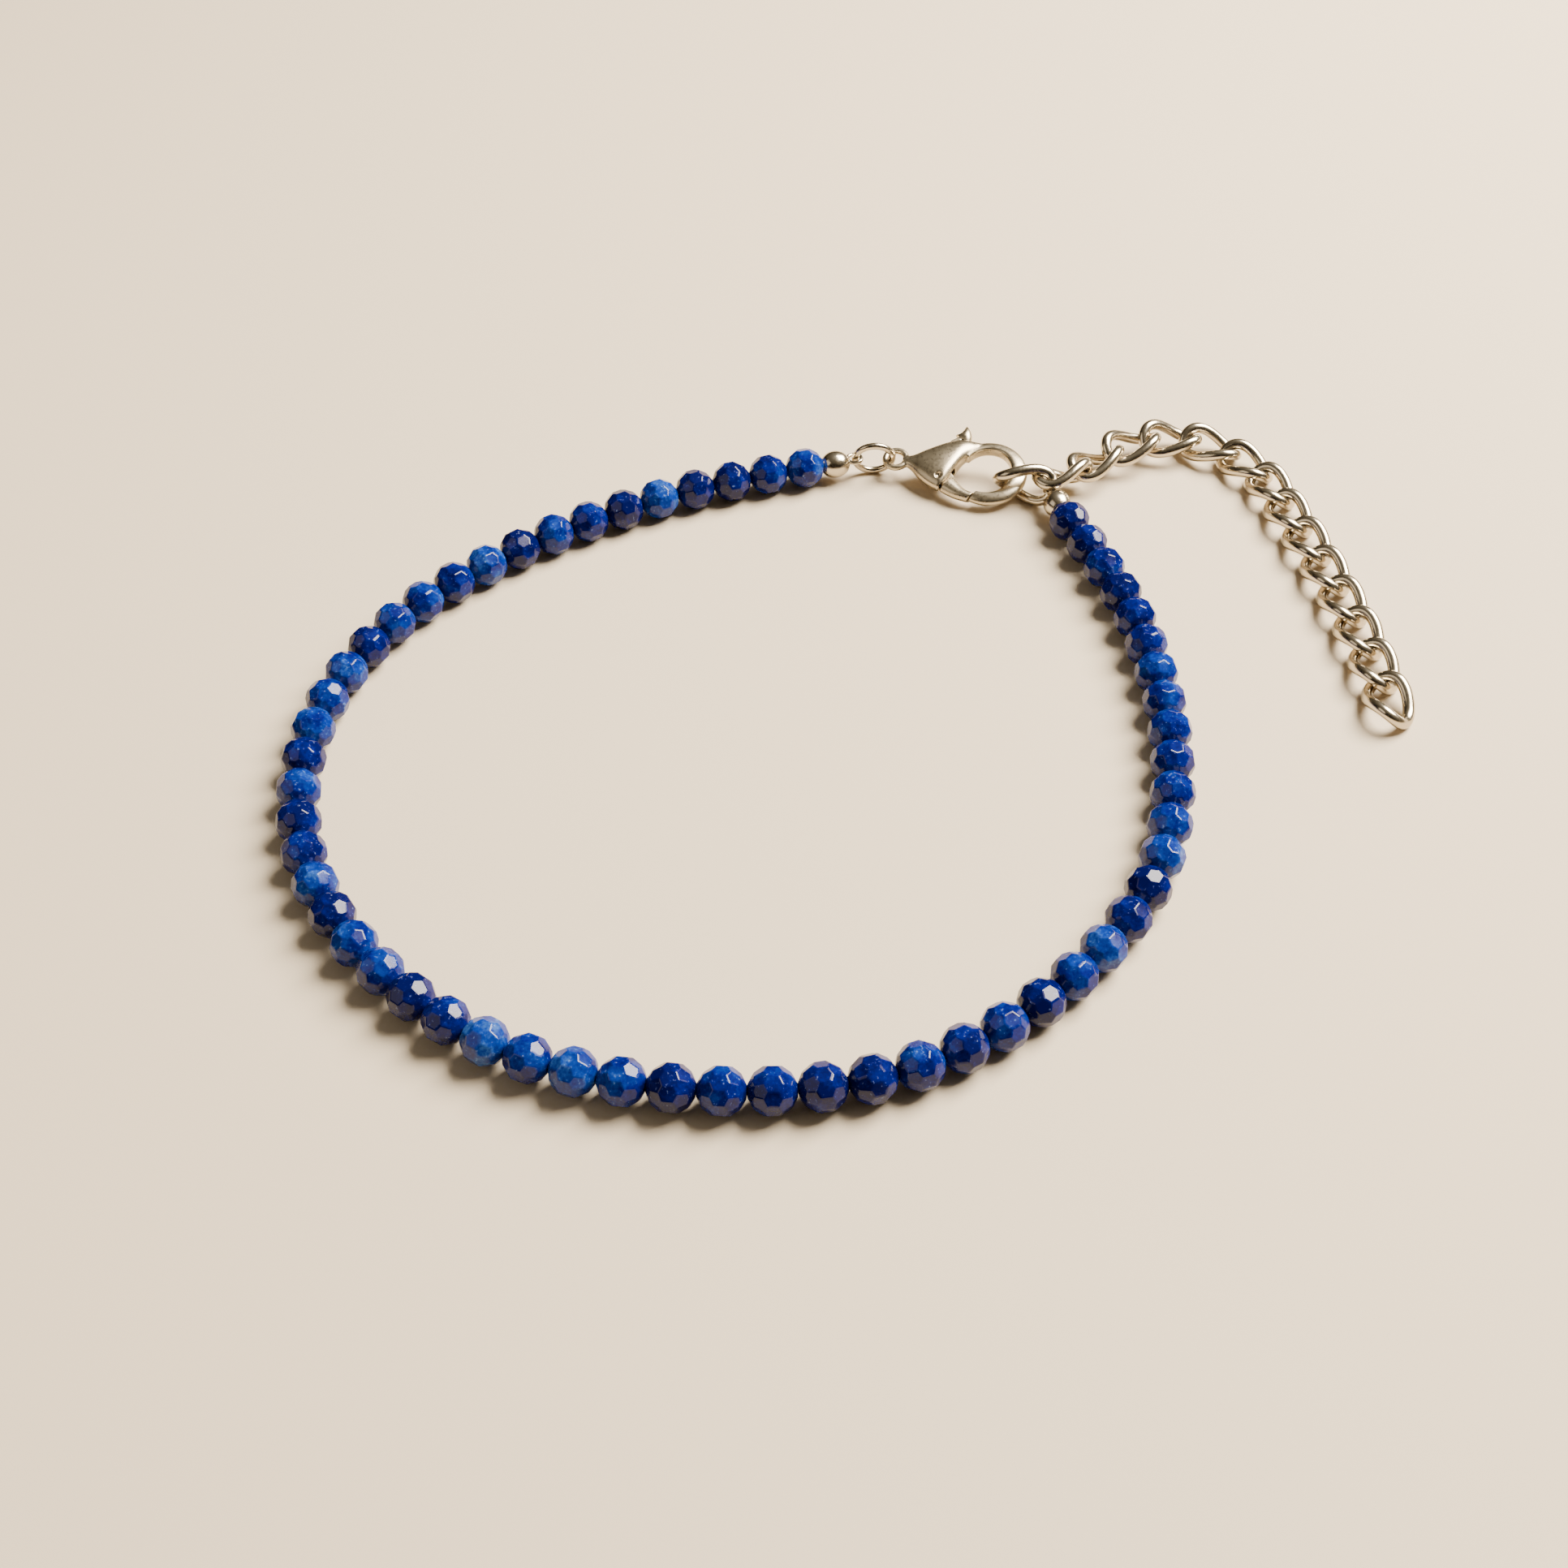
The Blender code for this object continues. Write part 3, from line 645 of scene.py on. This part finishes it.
# %% [markdown]
# ## Jump ring
# A jump ring is one turn of wire, cut through and closed by pushing its ends together, so a fine
# line stays where they meet. Its place is read from its CAD solid in the same way as a link's.

# %% The jump ring
JUMP_RING_RADIUS = 2.01 * MM
JUMP_RING_WIRE = 0.72 * MM
RING_CUT = 0.05 * MM

ring_centre, ring_rotation = node_frame("jump_ring")
ring_place = Matrix.Translation(ring_centre) @ ring_rotation.to_4x4()
half_cut = RING_CUT / JUMP_RING_RADIUS / 2
turn_points = []
for i in range(65):
    angle = half_cut + (2 * math.pi - 2 * half_cut) * i / 64
    turn_points.append(ring_place @ (Vector((math.cos(angle), math.sin(angle), 0)) * JUMP_RING_RADIUS))
ring_mesh = run_tree("split_ring", path_mesh("split_ring_path", turn_points, False), wires,
                     {"Wire Diameter": JUMP_RING_WIRE, "Sides": 16, "Metal": wire_silver})
add_piece("split_ring", ring_mesh, "anklet", ["jump_ring"])


# %% [markdown]
# ## Cast pieces
# The clasp is cast in one piece and polished, so nothing on it meets at a hard corner: body, hook
# and ring flow into each other. Modelling each join would be slow. Here plain overlapping forms
# are joined by a voxel remesh, which also closes them into one skin, and smoothed, which melts
# the corners as polishing does.

# %% Forms for casting
ROUND = [(math.cos(2 * math.pi * k / 20), math.sin(2 * math.pi * k / 20)) for k in range(20)]


def tube(shape, path, sizes, outline=ROUND):
    """Adds a closed tube along flat path points; each size is its half width and half height."""
    sides = len(outline)
    rings = []
    for i, (point, (half_width, half_height)) in enumerate(zip(path, sizes)):
        ahead = (path[min(i + 1, len(path) - 1)] - path[max(i - 1, 0)]).normalized()
        across = Vector((-ahead.y, ahead.x, 0))
        ring = []
        for across_share, up_share in outline:
            ring.append(shape.verts.new(point + across * half_width * across_share
                                        + Vector((0, 0, half_height * up_share))))
        rings.append(ring)
    for lower, upper in zip(rings, rings[1:]):
        for k in range(sides):
            shape.faces.new((lower[k], lower[k - 1], upper[k - 1], upper[k]))
    shape.faces.new(rings[0])
    shape.faces.new(rings[-1][::-1])


def ring_form(shape, centre, radius, wire, count=48, sides=16):
    """Adds a closed ring of round wire lying flat."""
    rings = []
    for i in range(count):
        angle = 2 * math.pi * i / count
        out = Vector((math.cos(angle), math.sin(angle), 0))
        rings.append([shape.verts.new(centre + out * (radius + wire / 2 * math.cos(2 * math.pi * k / sides))
                                      + Vector((0, 0, wire / 2 * math.sin(2 * math.pi * k / sides))))
                      for k in range(sides)])
    for lower, upper in zip(rings, rings[1:] + rings[:1]):
        for k in range(sides):
            shape.faces.new((lower[k - 1], lower[k], upper[k], upper[k - 1]))


def cast(name, shape, voxel, rounds, place, metal, cutters=()):
    """Joins forms into one skin, cuts it, melts the edges and returns the mesh in its place."""
    bmesh.ops.recalc_face_normals(shape, faces=shape.faces)
    form = bpy.data.meshes.new(name)
    shape.to_mesh(form)
    shape.free()
    item = bpy.data.objects.new(name + "_form", form)
    bpy.context.scene.collection.objects.link(item)
    for cutter in (None, *cutters):
        if cutter is not None:
            cut = item.modifiers.new(cutter.name, "BOOLEAN")
            cut.operation = "DIFFERENCE"
            cut.solver = "EXACT"
            cut.object = cutter
        if cutter is None or cutter is cutters[-1]:
            skin = item.modifiers.new("skin", "REMESH")
            skin.mode = "VOXEL"
            skin.voxel_size = voxel
    soften = item.modifiers.new("soften", "SMOOTH")
    soften.factor = 0.5
    soften.iterations = rounds
    mesh = plain_mesh(name, item)
    for cutter in cutters:
        bpy.data.objects.remove(cutter)
    mesh.transform(place)
    mesh.materials.clear()
    mesh.materials.append(metal)
    mesh.shade_smooth()
    return mesh


def eased(rows, count):
    """More rows between those given, on a smooth curve through them."""
    rows = [np.array(row, float) for row in rows]
    rows = [2 * rows[0] - rows[1]] + rows + [2 * rows[-1] - rows[-2]]
    found = []
    for a, b, c, d in zip(rows, rows[1:], rows[2:], rows[3:]):
        for i in range(count):
            t = i / count
            found.append(0.5 * (2 * b + (c - a) * t + (2 * a - 5 * b + 4 * c - d) * t ** 2
                                + (3 * b - a - 3 * c + d) * t ** 3))
    return found + [rows[-2]]


print("a row halfway:", [round(float(v), 2) for v in eased([(0, 0), (1, 1), (2, 1)], 2)[1]])


# %% [markdown]
# The body is a plump drop between the base ring and the hook, lofted through cross-sections: how
# far along, how far to the side, half width and half height, in millimetres. The hook's band is
# narrow where it leaves the body and broadest at its far end, where the pull comes.

# %% The clasp's body
BODY_ROWS_MM = [(0.75, 0.00, 0.42, 0.36), (1.83, -0.10, 0.92, 0.62), (2.90, -0.12, 1.82, 0.92),
                (3.90, -0.08, 2.52, 1.10), (4.80, 0.04, 3.02, 1.20), (5.50, 0.18, 3.26, 1.22),
                (6.10, 0.92, 2.80, 1.18), (6.60, 1.70, 2.12, 1.10), (7.10, 2.34, 1.46, 0.97),
                (7.75, 2.72, 1.00, 0.80), (8.35, 3.00, 0.70, 0.68), (8.95, 3.22, 0.44, 0.50)]
HOOK_CENTRE = 10.1 * MM
HOOK_OUTSIDE = 4.08 * MM
# Each row of the hook: degrees round its centre, half width and half height in mm.
HOOK_ROWS = [(150, 0.66, 0.66), (110, 0.62, 0.68), (75, 0.66, 0.70), (40, 0.80, 0.72), (5, 0.88, 0.72),
             (-35, 0.80, 0.70), (-75, 0.68, 0.68), (-114, 0.62, 0.64)]
HOOK_SIDE = [(1.0, 0.0), (0.93, 0.34), (0.72, 0.58), (0.35, 0.80), (-0.1, 0.95), (-0.5, 1.0),
             (-0.82, 0.9), (-0.98, 0.6)]
HOOK_OUTLINE = HOOK_SIDE + [(-1.0, 0.0)] + [(u, -v) for u, v in HOOK_SIDE[:0:-1]]
BASE_RING_RADIUS = 1.125 * MM
BASE_RING_WIRE = 0.72 * MM
SLOT_HALF = 0.54 * MM
SLOT_MM = [(5.5, -4.6), (8.18, -4.6), (8.18, -0.45), (6.7, -0.45), (6.3, -0.15), (6.1, 0.3),
           (6.1, 2.5), (6.56, 3.3), (6.56, 5.6), (2.7, 5.6), (2.9, 0.4), (4.3, -0.9), (4.5, -1.7),
           (4.95, -2.15), (5.35, -2.6)]
GATE_ROOM_RADIUS = 1.25 * MM
GATE_ROOM = (-62, 18)   # degrees about the rivet
SEAM_RADIUS = 4.30 * MM
SEAM_GAP = 0.07 * MM
DIMPLE_AT = Vector((5.1, -1.9, 1.08)) * MM
DIMPLE_RADIUS = 0.4 * MM


def squared(value):
    """Pushes a sine or cosine outwards, which turns a circle into a rounded block."""
    return math.copysign(abs(value) ** 0.88, value)


def drop(shape, rows):
    """Adds the body's rounded cross-sections, skinned and closed."""
    rings = []
    for along, side, half_width, half_height in rows:
        ring = []
        for k in range(36):
            angle = 2 * math.pi * k / 36
            ring.append(shape.verts.new(Vector((along, side + half_width * squared(math.cos(angle)),
                                                half_height * squared(math.sin(angle)))) * MM))
        rings.append(ring)
    for lower, upper in zip(rings, rings[1:]):
        for k in range(36):
            shape.faces.new((lower[k], lower[k - 1], upper[k - 1], upper[k]))
    shape.faces.new(rings[0])
    shape.faces.new(rings[-1][::-1])


def hook_point(angle, half_width):
    turn = math.radians(angle)
    out = Vector((math.cos(turn), math.sin(turn), 0))
    return Vector((HOOK_CENTRE, 0, 0)) + out * (HOOK_OUTSIDE - half_width * MM)


def form_object(name, shape):
    """A form as an object of the scene, to cut or join with."""
    mesh = bpy.data.meshes.new(name)
    shape.to_mesh(mesh)
    shape.free()
    item = bpy.data.objects.new(name, mesh)
    bpy.context.scene.collection.objects.link(item)
    return item


def prism(name, outline, low, high):
    """A block with a flat outline in millimetres, as an object to cut or join with."""
    shape = bmesh.new()
    bottom = shape.faces.new([shape.verts.new((x * MM, y * MM, low)) for x, y in outline])
    top = bmesh.ops.extrude_face_region(shape, geom=[bottom])["geom"]
    raised = [item for item in top if isinstance(item, bmesh.types.BMVert)]
    bmesh.ops.translate(shape, verts=raised, vec=(0, 0, high - low))
    bmesh.ops.recalc_face_normals(shape, faces=shape.faces)
    return form_object(name, shape)


def round_cutter(name, centre, radius):
    """A ball to cut a shallow dimple with."""
    shape = bmesh.new()
    bmesh.ops.create_uvsphere(shape, u_segments=24, v_segments=16, radius=radius,
                              matrix=Matrix.Translation(centre))
    return form_object(name, shape)


def round_rivet(radius, first, last, count):
    """Points in millimetres on an arc about the rivet, from one angle to another."""
    turns = [math.radians(first + (last - first) * i / count) for i in range(count + 1)]
    return [((RIVET_ALONG + radius * math.cos(t)) / MM, (RIVET_SIDE + radius * math.sin(t)) / MM)
            for t in turns]


body_shape = bmesh.new()
drop(body_shape, eased(BODY_ROWS_MM, 4))
hook_rows = eased(HOOK_ROWS, 6)
tube(body_shape, [hook_point(row[0], row[1]) for row in hook_rows],
     [(row[1] * MM, row[2] * MM) for row in hook_rows], HOOK_OUTLINE)
ring_form(body_shape, Vector((0, 0, 0)), BASE_RING_RADIUS, BASE_RING_WIRE)
gate_room = round_rivet(GATE_ROOM_RADIUS, GATE_ROOM[0], GATE_ROOM[1], 12)
gate_room += [(7.3, -0.9)] + round_rivet(SEAM_RADIUS + SEAM_GAP, -20, -52, 10)
gate_room += [(5.35, -4.7), (5.46, -2.98), (5.7, -2.62)]
body_mesh = cast("clasp_casting", body_shape, 0.085 * MM, 4, clasp_place, cast_silver, [
    prism("lever_slot", SLOT_MM, -SLOT_HALF, SLOT_HALF),
    prism("gate_room", gate_room, -2 * MM, 2 * MM),
    round_cutter("dimple", DIMPLE_AT, DIMPLE_RADIUS)])
add_piece("clasp_casting", body_mesh, "anklet", ["clasp_body"])


# %% [markdown]
# ## Lever and rivet
# The lever is a second casting: a flat arm in the slot, the gate that closes the hook, and the
# thumb tab. It turns on the rivet, so it rides on its own body and keeps clear of the slot's
# walls all the way. Where gate and tab come out of the slot they are as thick as the hook.

# %% The lever and its rivet
LEVER_HALF = 0.40 * MM
ARM_MM = [(4.95, -1.8), (4.72, -1.2), (4.8, 2.6), (5.3, 3.4), (5.9, 3.95), (6.3, 4.3), (6.3, 3.5),
          (5.85, 2.6), (5.85, 0.4), (6.1, -0.7), (7.4, -2.2), (7.0, -2.9), (5.6, -2.5)]
# Gate and tab: how far along and to the side, half width and half height.
GATE_ROWS_MM = [(9.35, -3.52, 0.54, 0.62), (8.82, -3.42, 0.57, 0.63), (8.15, -3.30, 0.64, 0.66),
                (7.45, -3.06, 0.80, 0.70), (6.80, -2.70, 0.96, 0.74), (6.12, -2.28, 1.08, 0.78)]
TAB_ROWS_MM = [(6.35, 3.85, 1.00, 0.48), (6.55, 4.20, 0.82, 0.62), (6.62, 4.60, 0.64, 0.62),
               (6.60, 5.00, 0.45, 0.54), (6.53, 5.40, 0.26, 0.38), (6.44, 5.72, 0.10, 0.18)]
GATE_ROOT = 1.38 * MM   # the gate starts this far from the rivet and ends at the seam


def limb(shape, rows):
    """Adds a rounded limb of the lever along its rows."""
    rows = eased(rows, 4)
    tube(shape, [Vector((row[0], row[1], 0)) * MM for row in rows],
         [(row[2] * MM, row[3] * MM) for row in rows])


lever_shape = bmesh.new()
limb(lever_shape, GATE_ROWS_MM)
hub = Vector((RIVET_ALONG, RIVET_SIDE))
for vertex in lever_shape.verts:
    out = vertex.co.xy - hub
    vertex.co.xy = hub + out.normalized() * min(max(out.length, GATE_ROOT), SEAM_RADIUS)
limb(lever_shape, TAB_ROWS_MM)
arm_block = prism("lever_arm", ARM_MM, -LEVER_HALF, LEVER_HALF)
lever_shape.from_mesh(arm_block.data)
bpy.data.objects.remove(arm_block)
lever_mesh = cast("clasp_trigger", lever_shape, 0.06 * MM, 4, clasp_place, cast_silver)
add_piece("clasp_trigger", lever_mesh, "lever", ["clasp_lever"])

RIVET_RADIUS = 0.35 * MM
RIVET_HALF = 0.95 * MM
pin = bmesh.new()
bmesh.ops.create_cone(pin, cap_ends=True, segments=28, radius1=RIVET_RADIUS, radius2=RIVET_RADIUS,
                      depth=2 * RIVET_HALF)
rims = [edge for edge in pin.edges if abs(edge.verts[0].co.z - edge.verts[1].co.z) < 0.01 * MM]
bmesh.ops.bevel(pin, geom=rims, offset=0.1 * MM, segments=3, profile=0.5, affect="EDGES")
pin_mesh = bpy.data.meshes.new("rivet_pin")
pin.to_mesh(pin_mesh)
pin.free()
pin_mesh.transform(clasp_place @ Matrix.Translation((RIVET_ALONG, RIVET_SIDE, 0)))
pin_mesh.materials.append(cast_silver)
pin_mesh.shade_smooth()
add_piece("rivet_pin", pin_mesh, "anklet", ["clasp_rivet"])


# %% [markdown]
# ## Bead tips
# A bead tip is a little hollow ball that closes over the thread's knot, with a loop bent from the
# same metal. The loop's centre is on the ring or link that it holds, and the ball's is on the
# thread, so both are read from the CAD tip's own solid.

# %% Both tips
TIP_RADIUS = 1.45 * MM
TIP_LOOP_RADIUS = 0.75 * MM
TIP_LOOP_WIRE = 0.44 * MM
TIP_REACH = 1.83 * MM       # from the ball's centre to the loop's
LOOP_FROM = 0.82            # the solid's points beyond this share of it are the loop's
CUP_STRETCH = 1.14          # the cup is a little longer than it is round
CUP_BACK = 0.3 * MM         # how far it sits back over the bead
NECK_AT = 1.5 * MM


def tip_points(name):
    """The centres of a tip's ball and loop, from its CAD solid: the ball's top and the loop."""
    points = np.array([vertex.co[:] for vertex in nodes[name].data.vertices])
    top = points[points[:, 2].argmax()]
    low = points[points[:, 2].argmin()]
    ball = Vector(((top[0] + low[0]) / 2, (top[1] + low[1]) / 2, (top[2] + low[2]) / 2))
    level = np.hypot(points[:, 0] - ball.x, points[:, 1] - ball.y)
    far = points[level > TIP_REACH * LOOP_FROM]
    heading = Vector((far[:, 0].mean() - ball.x, far[:, 1].mean() - ball.y, 0)).normalized()
    rise = (far[:, 2].max() + far[:, 2].min()) / 2
    loop = ball + heading * TIP_REACH
    return ball, Vector((loop.x, loop.y, rise))


for name in ("bead_tip_left", "bead_tip_right"):
    ball, loop = tip_points(name)
    ball.z = max(ball.z, TIP_RADIUS)
    shape = bmesh.new()
    back = Vector((ball.x - loop.x, ball.y - loop.y, 0)).normalized()
    lined = Matrix.Translation(ball + back * CUP_BACK) @ back.to_track_quat("X", "Z").to_matrix().to_4x4()
    cup = lined @ Matrix.Diagonal((CUP_STRETCH, 1.0, 1.0, 1.0))
    bmesh.ops.create_uvsphere(shape, u_segments=40, v_segments=24, radius=TIP_RADIUS - 0.02 * MM, matrix=cup)
    neck = lined @ Matrix.Translation((NECK_AT, 0, 0)) @ Matrix.Rotation(math.pi / 2, 4, "Y")
    bmesh.ops.create_cone(shape, cap_ends=True, segments=24, radius1=0.75 * MM, radius2=0.55 * MM,
                          depth=0.5 * MM, matrix=neck)
    ring_form(shape, loop, TIP_LOOP_RADIUS, TIP_LOOP_WIRE)
    tip_mesh = cast(name + "_cup", shape, 0.05 * MM, 3, Matrix(), wire_silver)
    add_piece(name + "_cup", tip_mesh, "anklet", [name])
    print(name, "ball", [round(v / MM, 2) for v in ball], "loop", [round(v / MM, 2) for v in loop])


# %% [markdown]
# ## Finish
# The dressed model must stay inside the CAD model's box.
# Link 1 is the one exception: rolled as it is, it stands 0.07 mm past the box, above and below.

# %% Update the scene
bpy.context.view_layer.update()
